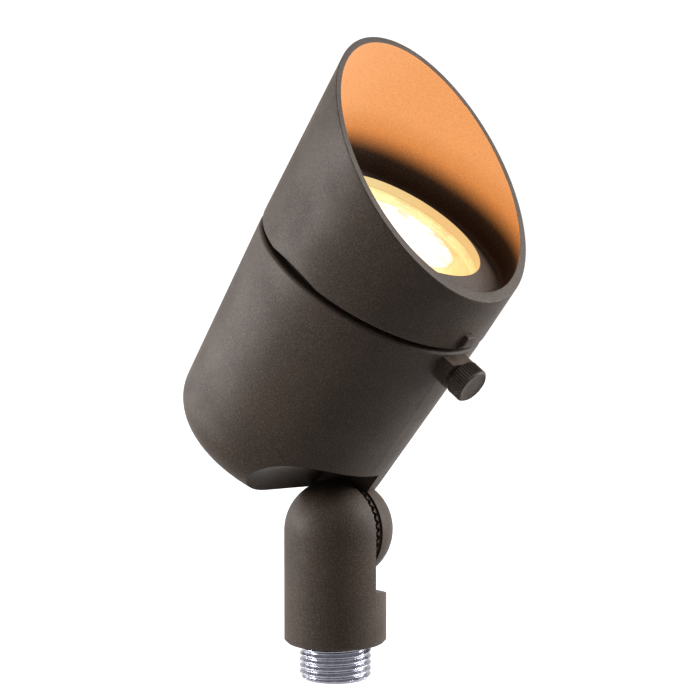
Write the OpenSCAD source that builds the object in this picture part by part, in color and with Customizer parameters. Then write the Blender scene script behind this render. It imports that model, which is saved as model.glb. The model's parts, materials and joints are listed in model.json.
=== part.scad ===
// Low-voltage outdoor spotlight: a cast cup on a serrated swivel knuckle, with a slip-on glare
// shroud held by a thumbscrew and a half-inch pipe-thread nipple under the stem.
// Millimetres. Origin at the centre of the stem's bottom face, +Z up the stem, +Y along the
// swivel pin from the stem's half of the knuckle to the head's half, +X the way the head leans.

/* [Stem] */
// Radius of the stem and of both round knuckle halves
knuckle_r = 15; // [13.5:0.5:17]
// Height of the swivel pin above the stem's bottom face
pivot_z = 32.7; // [31.5:0.1:40]
// Height of the ledge under the flat side of the knuckle, where the two meet
ledge_z = 15.9; // [14.5:0.1:16.8]
// Fall of the ledge away from the flat side, in degrees
ledge_slope = 10; // [6:1:14]
// Edge break round the bottom of the stem
stem_edge = 0.8; // [0.3:0.1:1.5]

/* [Threaded nipple] */
// Outside radius of the half-inch pipe thread
nipple_r = 10.5; // [9.5:0.1:10.6]
// Bore radius of the nipple, where the supply cable enters
nipple_bore_r = 7.5; // [5:0.1:8.4]
// Length of thread below the stem
nipple_reach = 10.6; // [8:0.1:16]
// Length of thread screwed into the stem
nipple_grip = 11; // [8:0.5:12]
// Thinning of the nipple where it is screwed into the stem
nipple_relief = 0.3; // [0.2:0.05:0.5]
// Bevel round the mouth of the stem's tapped hole, beyond the thread's outside
socket_bevel = 0.4; // [0.2:0.05:0.8]

/* [Swivel knuckle] */
// Width of the space between the two knuckle faces
face_gap = 3.16; // [2.9:0.02:3.6]
// Number of teeth on each serrated ring
teeth = 40; // [24:4:48]
// Height of the serration teeth at their outer ends
tooth_depth = 1.2; // [0.8:0.05:1.25]
// Outer radius of the serrated rings
tooth_outer_r = 14.3; // [13.6:0.1:14.4]
// Inner radius of the serrated rings
tooth_inner_r = 10.4; // [10.2:0.1:11.5]
// Gap left between the tips of the two rings while the joint is free to turn
tooth_gap = 0.3; // [0.2:0.05:0.4]
// Radius of the wire chamber inside each knuckle half
chamber_r = 8.4; // [7.5:0.1:8.6]
// Depth of the wire chamber in the stem's half
stem_chamber = 7; // [5.5:0.5:7.5]
// Depth of the wire chamber in the head's half
ear_chamber = 4.8; // [4:0.2:5.4]
// Radius of the wire passage up the stem
stem_passage_r = 3.4; // [2.5:0.1:3.6]

/* [Swivel screw] */
// Radius of the swivel screw's shank
screw_r = 3; // [2.5:0.1:3.2]
// Radius of the swivel screw's head
screw_head_r = 5; // [4.6:0.1:5.4]
// Height of the swivel screw's head
screw_head_h = 4; // [3:0.5:4.5]
// Width across flats of the hexagon key socket
hex_key = 5; // [3:0.5:5.5]
// Length of screw in the stem's half beyond the wire chamber
screw_grip = 5.5; // [4:0.5:6]
// Thickness of the ear left under the spring washer
ear_web = 4.2; // [3.5:0.1:5]
// Thickness of the spring washer
washer_t = 1.3; // [1:0.1:1.6]

/* [Head] */
// Lean of the head from upright, four teeth of the serrated rings
tilt = 36; // [18:9:54]
// Distance from the swivel pin to the head's axis
axis_offset = 31.85; // [30.5:0.05:33]
// Shift of the head's axis along the swivel pin
axis_shift = -1.3; // [-1.8:0.1:0]
// Height of the cup's flat bottom above the swivel pin, along the head's axis
cup_bottom = 2.9; // [2:0.1:3.6]
// Height of the cup's mouth above the swivel pin, along the head's axis
cup_mouth = 69.1; // [66:0.1:72]
// Outside radius of the cup, carried down to its flat bottom
cup_bottom_r = 32.2; // [31.5:0.1:33]
// Outside radius of the cup at its mouth
cup_mouth_r = 35.8; // [35.4:0.1:36.4]
// Radius of the round corner at the bottom of the cup
cup_corner = 11.8; // [9:0.1:13]
// Wall of the cup
cup_wall = 3; // [2.6:0.1:3.2]
// Thickness of the cup's floor
cup_floor = 4; // [3:0.1:5]
// Radius of the rounded outer edge of the cup's mouth
mouth_edge = 1.1; // [0.5:0.1:1.5]

/* [Relief under the cup] */
// Radius of the coned relief at the plane of the knuckle faces
relief_r = 19.2; // [18.4:0.1:19.6]
// Growth of the relief's radius for each millimetre towards the stem's half
relief_draft = 0.076; // [0.05:0.002:0.1]
// Shift of the relief's centre across the head's axis, towards the lean
relief_shift = 3.1; // [2.6:0.1:4]
// Rise of the relief's centre above the swivel pin, along the head's axis
relief_rise = 2.8; // [2.2:0.1:3.2]
// Clearance round the stem's half of the knuckle
knuckle_clear = 0.7; // [0.5:0.1:1]

/* [Shroud] */
// Gap between the cup's mouth and the shroud's lower edge
seam_gap = 1.4; // [0.8:0.1:2]
// Stand-out of the shroud's lower edge over the cup's mouth
shroud_step = 0.15; // [0:0.05:0.6]
// Outside draft of the shroud, radius for each millimetre of length
shroud_draft = 0.028; // [0.01:0.002:0.04]
// Height above the swivel pin where the slanting rim crosses the head's axis
rim_height = 105.7; // [102:0.1:112]
// Slant of the rim
rim_slant = 27.1; // [20:0.1:30]
// Wall of the shroud where the rim crosses the axis
shroud_wall = 2.2; // [1.8:0.1:2.6]
// Thinning of the shroud's wall for each millimetre of length
wall_taper = 0.033; // [0.01:0.001:0.036]
// Height of the outer edge of the shroud's inner floor
floor_height = 84.3; // [82:0.1:86]
// Rise of the inner floor from the wall to the lamp opening
floor_rise = 3; // [1.5:0.1:4]
// Radius of the fillet between the inner floor and the wall
floor_fillet = 1.3; // [0.8:0.1:2]
// Radius of the lamp opening
opening_r = 24.4; // [23:0.1:25]
// Thickness of the inner floor over the outer edge of the lens pocket
opening_lip = 1; // [0.8:0.1:2]
// Length of the collar below the shroud's lower edge
collar_length = 11.6; // [10.5:0.1:14]
// Wall of the collar
collar_wall = 2.9; // [2.6:0.1:3.2]
// Clearance of the collar in the cup's mouth
collar_clear = 0.35; // [0.25:0.05:0.5]
// Direction of the notch in the shroud's lower edge, from the underside of the lean
notch_angle = -93; // [-110:1:-70]
// Width of the notch
notch_width = 19.5; // [14:0.5:24]
// Depth of the notch
notch_depth = 1; // [0.5:0.1:1.4]
// Width of the index tab
tab_width = 4.1; // [2.5:0.1:5]
// Height of the index tab
tab_height = 4.9; // [3:0.1:6]
// Stand-off of the index tab
tab_proud = 1.5; // [0.8:0.1:1.8]
// Height of the index tab's lower end above the shroud's lower edge
tab_rise = 0.3; // [0.2:0.1:1]
// Length of the slope at the index tab's lower end
tab_ramp = 1.8; // [1:0.1:2.4]

/* [Lens] */
// Reach of the glass lens and its ring beyond the lamp's rim
lens_reach = 3; // [2.4:0.1:3.2]
// Thickness of the glass lens
lens_t = 3.2; // [2.5:0.1:4]
// Thickness of the lens gasket
gasket_t = 0.5; // [0.3:0.1:1]
// Height of the lens retaining ring
ring_h = 2.4; // [1.8:0.1:3]
// Clearance of the lens and its ring in their pocket
lens_clear = 0.3; // [0.15:0.05:0.4]
// Wall of the lens pocket
pocket_wall = 1.8; // [1.5:0.1:2.4]

/* [Shroud seal] */
// Cross-section radius of the O-ring
o_ring_r = 1.05; // [0.8:0.05:1.2]
// Height of the O-ring above the collar's lower end
o_ring_rise = 2.6; // [2.2:0.1:3]

/* [Thumbscrew] */
// Drop of the thumbscrew's axis below the cup's mouth
thumb_drop = 4.3; // [3.6:0.1:4.6]
// Radius of the knob
knob_r = 5.3; // [4.5:0.1:6]
// Length of the knob
knob_length = 5.2; // [4:0.1:7]
// Stand-off of the knob's outer face from the cup's wall
knob_standoff = 10; // [9:0.1:12]
// Bevel round the knob's outer face
knob_bevel = 0.5; // [0.3:0.1:0.8]
// Radius of the shank
shank_r = 2.5; // [2:0.1:2.8]
// Depth of the shank inside the knob
shank_grip = 3.5; // [2.5:0.1:3.8]
// Gap between the shank's tip and the collar, with the screw slackened
tip_gap = 0.3; // [0.2:0.1:0.6]
// Half width of the boss round the screw hole, and the radius of its lower end
boss_r = 5.3; // [4.6:0.1:5.6]
// Gap between the knob and the boss, with the screw slackened
knob_gap = 0.9; // [0.6:0.1:1.4]

/* [Lamp] */
// Gap between the lamp's rim and the ring under the lens
lamp_gap = 0.7; // [0.5:0.1:1.5]
// Radius of the lamp's front rim
lamp_r = 24.6; // [23.5:0.1:24.8]
// Depth of the reflector from its rim to its neck
reflector_depth = 25; // [22:0.5:27]
// Radius of the reflector's neck
neck_r = 8.6; // [8:0.1:9.5]
// Wall of the glass reflector
reflector_wall = 1.6; // [1.2:0.1:2]
// Thickness of the lamp's cover glass
cover_t = 1.2; // [1:0.1:1.6]
// Length of the lamp's ceramic base
base_length = 12; // [10:0.5:13]
// Width of the lamp's ceramic base
base_width = 17; // [15:0.5:18]
// Thickness of the lamp's ceramic base
base_thick = 11; // [9:0.5:12]
// Radius of the halogen capsule
capsule_r = 4.2; // [3.5:0.1:4.6]
// Height of the halogen capsule above the neck
capsule_height = 14; // [11:0.5:16]
// Radius of each lamp pin
pin_r = 0.75; // [0.6:0.05:0.9]
// Spacing of the lamp pins
pin_spacing = 5.33; // [4:0.01:6.35]
// Length of the lamp pins
pin_length = 6.5; // [5:0.5:7.5]

/* [Lamp holder] */
// Radius of the ceramic lamp holder
holder_r = 9; // [8:0.1:10]
// Height of the ceramic lamp holder
holder_h = 9; // [8.5:0.5:10]
// Width of the bracket under the holder
bracket_width = 13; // [12:0.5:15]
// Length of the bracket, measured along the swivel pin
bracket_length = 44; // [42:0.5:46]
// Thickness of the bracket
bracket_t = 1.6; // [1.2:0.1:2]
// Spacing of the bracket's screws
bracket_screws_apart = 34; // [32:0.5:36]
// Radius of the bracket screws' shanks
small_screw_r = 1.5; // [1.2:0.1:1.7]
// Radius of the bracket screws' heads
small_head_r = 2.9; // [2.5:0.1:3.2]
// Height of the bracket screws' heads
small_head_h = 2; // [1.5:0.1:2.4]
// Length of the bracket screws below the bracket
small_screw_grip = 8; // [6:0.5:9]
// Radius of the bosses that carry the bracket
post_r = 3.8; // [3.2:0.1:4.4]

/* [Leads] */
// Radius of each insulated lead
lead_r = 0.95; // [0.7:0.05:1]
// Radius of the wire passage between the knuckle and the cup
wire_passage_r = 2.6; // [2.5:0.1:2.8]
// Length of the grommet
grommet_length = 6.2; // [4:0.2:7]

/* [Hidden] */

$fn = 96;
bronze = [0.23, 0.2, 0.18];
dark_bronze = [0.17, 0.15, 0.14];
zinc = [0.66, 0.67, 0.7];
rubber = [0.08, 0.08, 0.08];
ceramic = [0.9, 0.88, 0.82];
steel = [0.6, 0.6, 0.62];

// Radial clearance of every shaft that turns or screws in its own bore
running = 0.05;
// Small overlap of joined shapes and overshoot of cuts
eps = 0.5;

// Knuckle
socket_r = nipple_r - nipple_relief + running;
lead_in = nipple_relief + socket_bevel;
mid_gap = face_gap / 2;
tooth_base = mid_gap - tooth_gap / 2 - tooth_depth;
seal_clear = 0.1;
seal_outer_r = tooth_inner_r - 0.3;
seal_inner_r = chamber_r + 0.3;
washer_seat = face_gap + ear_chamber + ear_web;
counterbore_r = screw_head_r + 0.5;
washer_r = screw_head_r + 0.1;

// Cup
cup_slope = (cup_mouth_r - cup_bottom_r) / (cup_mouth - cup_bottom);
function cup_r(s) = cup_bottom_r + cup_slope * (s - cup_bottom);
mouth_bore_r = cup_mouth_r - cup_wall;
collar_r = mouth_bore_r - collar_clear;
cavity_floor = cup_bottom + cup_floor;
bore_depth = collar_length + 3;
passage_x = axis_offset - 6.5;
passage_y = 7 - axis_shift;

// Shroud
shroud_r = cup_mouth_r + shroud_step;
shroud_bottom = cup_mouth + seam_gap;
collar_bottom = shroud_bottom - collar_length;
function shroud_outer(s) = shroud_r + shroud_draft * (s - shroud_bottom);
function shroud_inner(s) = shroud_outer(s) - shroud_wall + wall_taper * (s - rim_height);
shroud_top = rim_height + tan(rim_slant) * (shroud_outer(rim_height) + 4) + 4;
opening_top = floor_height + floor_rise;
fillet_s = floor_height + floor_fillet;
fillet_r = shroud_inner(fillet_s) - floor_fillet;
lens_r = lamp_r + lens_reach;
pocket_r = lens_r + lens_clear;
lens_seat = floor_height + floor_rise * (fillet_r - pocket_r) / (fillet_r - opening_r) - opening_lip;
pocket_bottom = lens_seat - gasket_t - lens_t - ring_h;
o_ring_s = collar_bottom + o_ring_rise;
groove_half = o_ring_r + 0.15;
o_ring_mid_r = mouth_bore_r - running - o_ring_r;

// Thumbscrew
thumb_s = cup_mouth - thumb_drop;
knob_face = cup_r(thumb_s) + knob_standoff;
knob_back = knob_face - knob_length;
shank_tip = collar_r + tip_gap;
boss_face = knob_back - knob_gap;

// Lamp
lamp_face = pocket_bottom - lamp_gap;
neck_s = lamp_face - reflector_depth;
base_s = neck_s - base_length;
holder_top = base_s - 0.3;
holder_s = holder_top - holder_h;
bracket_s = holder_s - bracket_t;
capsule_top = neck_s + capsule_height;
cover_top = lamp_face - 0.4;

// Leads, about the head's axis: from the holder's underside to the wire passage
lead_stand = pin_spacing / 2;
lead_apart = lead_r + 0.15;
grommet_top = knuckle_r + 0.2;
lead_route = [
    [0, 0, holder_s - 0.3], [0.6, 0.2, bracket_s - 3], [4, 1.4, bracket_s - 5],
    [10, 3.6, bracket_s - 5.4], [passage_x - 9, passage_y - 2, bracket_s - 5.8],
    [passage_x - 4.2, passage_y - 0.4, bracket_s - 6.6], [passage_x - 0.9, passage_y, bracket_s - 8.8],
    [passage_x - 0.1, passage_y, bracket_s - 11.6], [passage_x, passage_y, grommet_top - 0.7],
    [passage_x, passage_y, 5]
];

// Points of an arc from angle a to angle b
function arc(cx, cy, r, a, b, n = 8) =
    [for (i = [0:n]) [cx + r * cos(a + (b - a) * i / n), cy + r * sin(a + (b - a) * i / n)]];

// The head's frame: local Z runs along the head's axis and starts level with the swivel pin
module leaned() {
    translate([0, 0, pivot_z]) rotate([0, tilt, 0]) children();
}
module on_axis() {
    leaned() translate([-axis_offset, axis_shift, 0]) children();
}

// A cylinder along +Y from y0 to y1, centred on the swivel pin
module along_pin(r, y0, y1) {
    translate([0, y0, pivot_z]) rotate([-90, 0, 0]) cylinder(r = r, h = y1 - y0);
}

// A cylinder along the local X axis from x0 to x1, at height s
module radial(r, x0, x1, s) {
    translate([x0, 0, s]) rotate([0, 90, 0]) cylinder(r = r, h = x1 - x0);
}

// A flat ring between two radii and two heights
module ring(outer, inner, s0, s1) {
    difference() {
        translate([0, 0, s0]) cylinder(r = outer, h = s1 - s0);
        translate([0, 0, s0 - eps]) cylinder(r = inner, h = s1 - s0 + 2 * eps);
    }
}

// A serrated ring: radial teeth whose crests and roots all point at the pin's axis.
// It stands on z = 0, sunk by sink, and each tooth narrows towards the centre with its height.
module serrated_ring(sink) {
    step = 360 / teeth;
    half = tooth_depth / 2;
    middle = tooth_base + half;
    function corner(r, k, z) = [r * cos(k * step / 2), r * sin(k * step / 2), z];
    function crown(r, k) = middle + (k % 2 == 0 ? -1 : 1) * half * r / tooth_outer_r;
    count = 2 * teeth;
    points = [for (k = [0:count - 1])
        each [
            corner(tooth_inner_r, k, -sink), corner(tooth_outer_r, k, -sink),
            corner(tooth_outer_r, k, crown(tooth_outer_r, k)),
            corner(tooth_inner_r, k, crown(tooth_inner_r, k))
        ]];
    faces = [for (k = [0:count - 1]) let (a = 4 * k, b = 4 * ((k + 1) % count))
        each [
            [a, a + 1, b + 1], [a, b + 1, b],
            [a + 1, a + 2, b + 2], [a + 1, b + 2, b + 1],
            [a + 2, a + 3, b + 3], [a + 2, b + 3, b + 2],
            [a + 3, a, b], [a + 3, b, b + 3]
        ]];
    polyhedron(points = points, faces = faces, convexity = 10);
}

// Room beside the flat side of the knuckle, down to the falling ledge
module flat_side() {
    reach = knuckle_r + 1;
    rotate([90, 0, 90]) translate([0, 0, -reach]) linear_extrude(2 * reach)
        polygon([
            [0, ledge_z], [reach, ledge_z - tan(ledge_slope) * reach],
            [reach, pivot_z + reach], [0, pivot_z + reach]
        ]);
}

module stem() {
    color(bronze) union() {
        difference() {
            union() {
                rotate_extrude()
                    polygon([
                        [0, 0], [knuckle_r - stem_edge, 0], [knuckle_r, stem_edge],
                        [knuckle_r, pivot_z], [0, pivot_z]
                    ]);
                translate([0, 0, pivot_z]) sphere(r = knuckle_r);
            }
            flat_side();
            // Socket of the nipple, wire passage, wire chamber and blind screw hole
            translate([0, 0, -eps]) cylinder(r = socket_r, h = nipple_grip + eps);
            translate([0, 0, -eps]) cylinder(r1 = socket_r + lead_in + eps, r2 = socket_r, h = lead_in + eps);
            translate([0, -1.6 - stem_passage_r, 1]) cylinder(r = stem_passage_r, h = pivot_z - 5);
            along_pin(chamber_r, -stem_chamber, eps);
            along_pin(screw_r + running, -stem_chamber - screw_grip - 0.5, 0);
        }
        translate([0, 0, pivot_z]) rotate([-90, 0, 0]) serrated_ring(eps);
    }
}

module threaded_nipple() {
    color(zinc) union() {
        ring(nipple_r, nipple_bore_r, -nipple_reach, 0);
        ring(socket_r - running, nipple_bore_r, 0, nipple_grip);
    }
}

module pivot_screw() {
    head_y = washer_seat + washer_t;
    color(steel) difference() {
        union() {
            along_pin(screw_r, -stem_chamber - screw_grip, head_y + eps);
            along_pin(screw_head_r, head_y, head_y + screw_head_h);
        }
        translate([0, head_y + screw_head_h + eps, pivot_z])
            rotate([90, 0, 0]) cylinder(d = hex_key / cos(30), h = screw_head_h * 0.6 + eps, $fn = 6);
    }
}

module spring_washer() {
    color(steel) difference() {
        along_pin(washer_r, washer_seat + seal_clear, washer_seat + washer_t);
        along_pin(screw_r + running, washer_seat - 1, washer_seat + washer_t + 1);
        // The split of the spring washer
        translate([0, washer_seat - 1, pivot_z - 0.5]) cube([washer_r + 1, washer_t + 2, 1]);
    }
}

module knuckle_seal() {
    color(rubber) difference() {
        along_pin(seal_outer_r, seal_clear, face_gap - seal_clear);
        along_pin(seal_inner_r, 0, face_gap);
    }
}

// Room under the cup for the stem's half of the knuckle, up to the face of the ear:
// a coned relief that opens towards the near side, and a ball round the swivel pin
module knuckle_room(grow) {
    r = relief_r + grow;
    reach = cup_mouth_r + 15;
    intersection() {
        union() {
            leaned() translate([relief_shift, 0, relief_rise]) rotate([90, 0, 0])
                translate([0, 0, -10])
                    cylinder(r1 = r - 10 * relief_draft, r2 = r + reach * relief_draft, h = reach + 10);
            translate([0, 0, pivot_z]) sphere(r = knuckle_r + knuckle_clear + grow);
        }
        translate([-reach, face_gap + grow - 2 * reach, pivot_z - reach]) cube(2 * reach);
    }
}

// Outside of the cup, a drafted wall on a round corner
module cup_solid() {
    q = atan(cup_slope);
    corner_s = cup_bottom + cup_corner;
    corner_r = cup_r(corner_s) - cup_corner / cos(q);
    edge_s = cup_mouth - mouth_edge;
    rotate_extrude()
        polygon(concat(
            [[0, cup_bottom]],
            arc(corner_r, corner_s, cup_corner, -90, -q, 14),
            arc(cup_r(edge_s) - mouth_edge / cos(q), edge_s, mouth_edge, -q, 90, 6),
            [[0, cup_mouth]]
        ));
}

// Inside of the cup: a drafted cavity on a round corner, then a plain bore for the collar
module cup_cavity() {
    corner = cup_corner - cup_wall;
    bore_s = cup_mouth - bore_depth;
    corner_s = cavity_floor + corner;
    wall_r = cup_r(corner_s) - cup_wall - 0.6;
    rotate_extrude()
        polygon(concat(
            [[0, cavity_floor]],
            arc(wall_r - corner, corner_s, corner, -90, 0, 8),
            [
                [cup_r(bore_s) - cup_wall - 0.6, bore_s],
                [mouth_bore_r, bore_s + 1], [mouth_bore_r, cup_mouth + eps], [0, cup_mouth + eps]
            ]
        ));
}

// The head's half of the knuckle, a half ball cast with the cup
module ear() {
    intersection() {
        translate([0, face_gap, pivot_z]) sphere(r = knuckle_r);
        translate([-knuckle_r - 1, face_gap, pivot_z - knuckle_r - 1])
            cube([2 * knuckle_r + 2, knuckle_r + 2, 2 * knuckle_r + 2]);
    }
}

// The pad round the thumbscrew's hole: round below, with straight sides up to the cup's mouth
module boss() {
    top = cup_mouth - mouth_edge - thumb_s;
    back = cup_r(thumb_s) - 2;
    translate([back, 0, thumb_s]) rotate([90, 0, 90]) linear_extrude(boss_face - back)
        polygon(concat([[-boss_r, top]], arc(0, 0, boss_r, 180, 360, 20), [[boss_r, top]]));
}

module housing() {
    color(bronze) union() {
        difference() {
            union() {
                difference() {
                    union() {
                        on_axis() cup_solid();
                        on_axis() boss();
                    }
                    knuckle_room(0);
                }
                ear();
            }
            // The cavity keeps a full wall round the relief, the knuckle and the ear
            difference() {
                on_axis() cup_cavity();
                knuckle_room(cup_wall);
                ear();
                for (side = [-1, 1])
                    on_axis() translate([0, side * bracket_screws_apart / 2, 0])
                        cylinder(r = post_r, h = bracket_s);
            }
            // Screw holes of the bracket and of the thumbscrew
            for (side = [-1, 1])
                on_axis() translate([0, side * bracket_screws_apart / 2, bracket_s - small_screw_grip - 1])
                    cylinder(r = small_screw_r + running, h = small_screw_grip + 2);
            on_axis() radial(shank_r + running, mouth_bore_r - 3, boss_face + eps, thumb_s);
            // Wire chamber, screw hole and counterbore of the ear, and the passage into the cup
            along_pin(chamber_r, face_gap - eps, face_gap + ear_chamber);
            along_pin(screw_r + running, face_gap, washer_seat + eps);
            along_pin(counterbore_r, washer_seat, face_gap + knuckle_r + 1);
            on_axis() translate([passage_x, passage_y, 2]) cylinder(r = wire_passage_r, h = grommet_top + 7);
        }
        leaned() translate([0, face_gap, 0]) rotate([90, 180 / teeth, 0]) serrated_ring(eps);
    }
}

module lead_grommet() {
    color(rubber) on_axis() translate([passage_x, passage_y, grommet_top - grommet_length])
        difference() {
            cylinder(r = wire_passage_r - running, h = grommet_length);
            for (side = [-1, 1])
                translate([0, side * lead_apart, -eps])
                    cylinder(r = lead_r + running, h = grommet_length + 2 * eps);
        }
}

module holder_bracket() {
    color(steel) on_axis() difference() {
        translate([-bracket_width / 2, -bracket_length / 2, bracket_s])
            cube([bracket_width, bracket_length, bracket_t]);
        for (side = [-1, 1])
            translate([0, side * bracket_screws_apart / 2, bracket_s - 1])
                cylinder(r = small_screw_r + running, h = bracket_t + 2);
        // Way through for the leads
        translate([0, 0, bracket_s - 1]) cylinder(r = lead_stand + lead_r + 0.6, h = bracket_t + 2);
    }
}

module bracket_screws() {
    color(steel) on_axis() for (side = [-1, 1])
        translate([0, side * bracket_screws_apart / 2, 0]) difference() {
            union() {
                translate([0, 0, bracket_s - small_screw_grip])
                    cylinder(r = small_screw_r, h = small_screw_grip + bracket_t + eps);
                translate([0, 0, bracket_s + bracket_t]) cylinder(r = small_head_r, h = small_head_h);
            }
            translate([-small_head_r, -0.4, bracket_s + bracket_t + small_head_h - 1])
                cube([2 * small_head_r, 0.8, 2]);
        }
}

module lamp_holder() {
    color(ceramic) on_axis() difference() {
        translate([0, 0, holder_s]) cylinder(r = holder_r, h = holder_h);
        for (side = [-1, 1])
            translate([0, side * pin_spacing / 2, holder_s - eps])
                cylinder(r = pin_r + 0.25, h = holder_h + 2 * eps);
    }
}

// A tube of eight sides swept along a route, as one closed mesh
module swept(route, r) {
    sides = 8;
    last = len(route) - 1;
    function unit(v) = v / norm(v);
    function heading(i) = unit(route[min(i + 1, last)] - route[max(i - 1, 0)]);
    function side_of(h) = unit(cross(h, [0.1, 1, 0]));
    points = [for (i = [0:last]) let (h = heading(i), a = side_of(h), b = cross(h, a))
        for (k = [0:sides - 1]) route[i] + r * (cos(45 * k) * a + sin(45 * k) * b)];
    walls = [for (i = [0:last - 1], k = [0:sides - 1])
        let (a = i * sides + k, b = i * sides + (k + 1) % sides)
        each [[a, b + sides, b], [a, a + sides, b + sides]]];
    ends = [
        [for (k = [0:sides - 1]) k],
        [for (k = [sides - 1:-1:0]) last * sides + k]
    ];
    polyhedron(points = points, faces = concat(walls, ends), convexity = 6);
}

module socket_leads() {
    color("white") on_axis() for (side = [-1, 1])
        swept([for (i = [0:len(lead_route) - 1])
            lead_route[i] + [0, side * (i < 2 ? lead_stand : lead_apart), 0]], lead_r);
}

module lamp_base() {
    color(ceramic) on_axis() difference() {
        translate([-base_thick / 2, -base_width / 2, base_s]) cube([base_thick, base_width, base_length]);
        for (side = [-1, 1])
            translate([0, side * pin_spacing / 2, base_s - eps])
                cylinder(r = pin_r + running, h = 3 + eps);
    }
}

module lamp_pins() {
    color(steel) on_axis() for (side = [-1, 1])
        translate([0, side * pin_spacing / 2, base_s - pin_length])
            cylinder(r = pin_r, h = pin_length + 3);
}

// The dished glass reflector of the lamp
module lamp_reflector() {
    steps = 10;
    function bowl(t, wall) = neck_r - wall + (lamp_r - neck_r) * pow(t, 0.62);
    color([0.85, 0.85, 0.8]) on_axis() rotate_extrude()
        polygon(concat(
            [[0, neck_s], [neck_r, neck_s]],
            [for (i = [1:steps]) [bowl(i / steps, 0), neck_s + reflector_depth * i / steps]],
            [[lamp_r - reflector_wall, lamp_face], [lamp_r - reflector_wall, lamp_face - 2]],
            [for (i = [steps - 1:-1:1])
                [bowl(i / steps, reflector_wall), neck_s + (reflector_depth - 2) * i / steps + 1]],
            [[neck_r - reflector_wall, neck_s + 1.5], [0, neck_s + 1.5]]
        ));
}

module lamp_capsule() {
    color([1, 0.95, 0.8]) on_axis() {
        translate([0, 0, neck_s + 1.5]) cylinder(r = capsule_r, h = capsule_height - capsule_r - 1.5);
        translate([0, 0, capsule_top - capsule_r]) sphere(r = capsule_r);
    }
}

module lamp_cover_glass() {
    color([0.9, 0.95, 1, 0.4]) on_axis()
        translate([0, 0, cover_top - cover_t])
            cylinder(r = lamp_r - reflector_wall - running, h = cover_t);
}

module shroud_o_ring() {
    color(rubber) on_axis() translate([0, 0, o_ring_s])
        rotate_extrude() translate([o_ring_mid_r, 0]) circle(r = o_ring_r, $fn = 32);
}

// Half section of the shroud: wall, inner floor, lens pocket and collar in one turned profile
module shroud_section() {
    under = pocket_bottom;
    polygon(concat(
        [
            [shroud_r - 0.4, shroud_bottom], [shroud_r, shroud_bottom + 0.6],
            [shroud_outer(shroud_top), shroud_top], [shroud_inner(shroud_top), shroud_top]
        ],
        arc(fillet_r, fillet_s, floor_fillet, 0, -90, 6),
        [
            [opening_r, opening_top], [opening_r, lens_seat], [pocket_r, lens_seat],
            [pocket_r, under], [pocket_r + pocket_wall, under],
            [collar_r - collar_wall, shroud_bottom + 2], [collar_r - collar_wall, collar_bottom],
            [collar_r, collar_bottom],
            [collar_r, o_ring_s - groove_half], [o_ring_mid_r - o_ring_r - 0.1, o_ring_s - groove_half],
            [o_ring_mid_r - o_ring_r - 0.1, o_ring_s + groove_half], [collar_r, o_ring_s + groove_half],
            [collar_r, shroud_bottom]
        ]
    ));
}

// The shallow notch in the shroud's lower edge, cut across the wall but not into the collar
module notch() {
    r = (notch_width * notch_width / 4 + notch_depth * notch_depth) / (2 * notch_depth);
    intersection() {
        rotate([0, 0, notch_angle]) radial(r, 0, shroud_r + 3, shroud_bottom + notch_depth - r);
        ring(shroud_r + 3, collar_r, shroud_bottom - 1, shroud_bottom + notch_depth + 1);
    }
}

module shroud() {
    tab_low = shroud_bottom + tab_rise;
    tab_top = tab_low + tab_height;
    tab_r = shroud_r + tab_proud;
    color(bronze) on_axis() union() {
        difference() {
            rotate_extrude() shroud_section();
            // The slanting rim
            translate([0, 0, rim_height]) rotate([0, rim_slant, 0])
                translate([-100, -100, 0]) cube([200, 200, 100]);
            notch();
        }
        // The index tab, on the underside of the lean
        intersection() {
            translate([shroud_r - 1, -tab_width / 2, tab_low - 1])
                cube([tab_proud + 2, tab_width, tab_height + 2]);
            rotate_extrude()
                polygon([
                    [shroud_r - 1.5, tab_low], [shroud_r - 0.3, tab_low], [tab_r, tab_low + tab_ramp],
                    [tab_r, tab_top - 0.2], [tab_r - 0.2, tab_top], [shroud_r - 1.5, tab_top]
                ]);
        }
    }
}

module lens_gasket() {
    color(rubber) on_axis() ring(lens_r, opening_r + 0.3, lens_seat - gasket_t, lens_seat);
}

module lens() {
    top = lens_seat - gasket_t;
    color([0.85, 0.92, 0.95, 0.4]) on_axis()
        translate([0, 0, top - lens_t]) cylinder(r = lens_r, h = lens_t);
}

module lens_retaining_ring() {
    top = lens_seat - gasket_t - lens_t;
    color(steel) on_axis() ring(lens_r, lamp_r + 0.6, top - ring_h + 0.2, top);
}

module thumbscrew_knob() {
    color(dark_bronze) on_axis() translate([knob_back, 0, thumb_s]) rotate([0, 90, 0])
        rotate_extrude()
            polygon([
                [shank_r + running, 0], [knob_r - knob_bevel, 0], [knob_r, knob_bevel],
                [knob_r, knob_length - knob_bevel], [knob_r - knob_bevel, knob_length],
                [0, knob_length], [0, shank_grip + running], [shank_r + running, shank_grip + running]
            ]);
}

module thumbscrew_shank() {
    color(steel) on_axis() radial(shank_r, shank_tip, knob_back + shank_grip, thumb_s);
}

stem();
threaded_nipple();
pivot_screw();
spring_washer();
knuckle_seal();
housing();
lead_grommet();
holder_bracket();
bracket_screws();
lamp_holder();
socket_leads();
lamp_base();
lamp_pins();
lamp_reflector();
lamp_capsule();
lamp_cover_glass();
shroud_o_ring();
shroud();
lens();
lens_gasket();
lens_retaining_ring();
thumbscrew_knob();
thumbscrew_shank();
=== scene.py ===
"""Looks of the outdoor spotlight: coat, pipe thread, thumbscrew, lit lamp and studio."""

import json
import math

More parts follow.
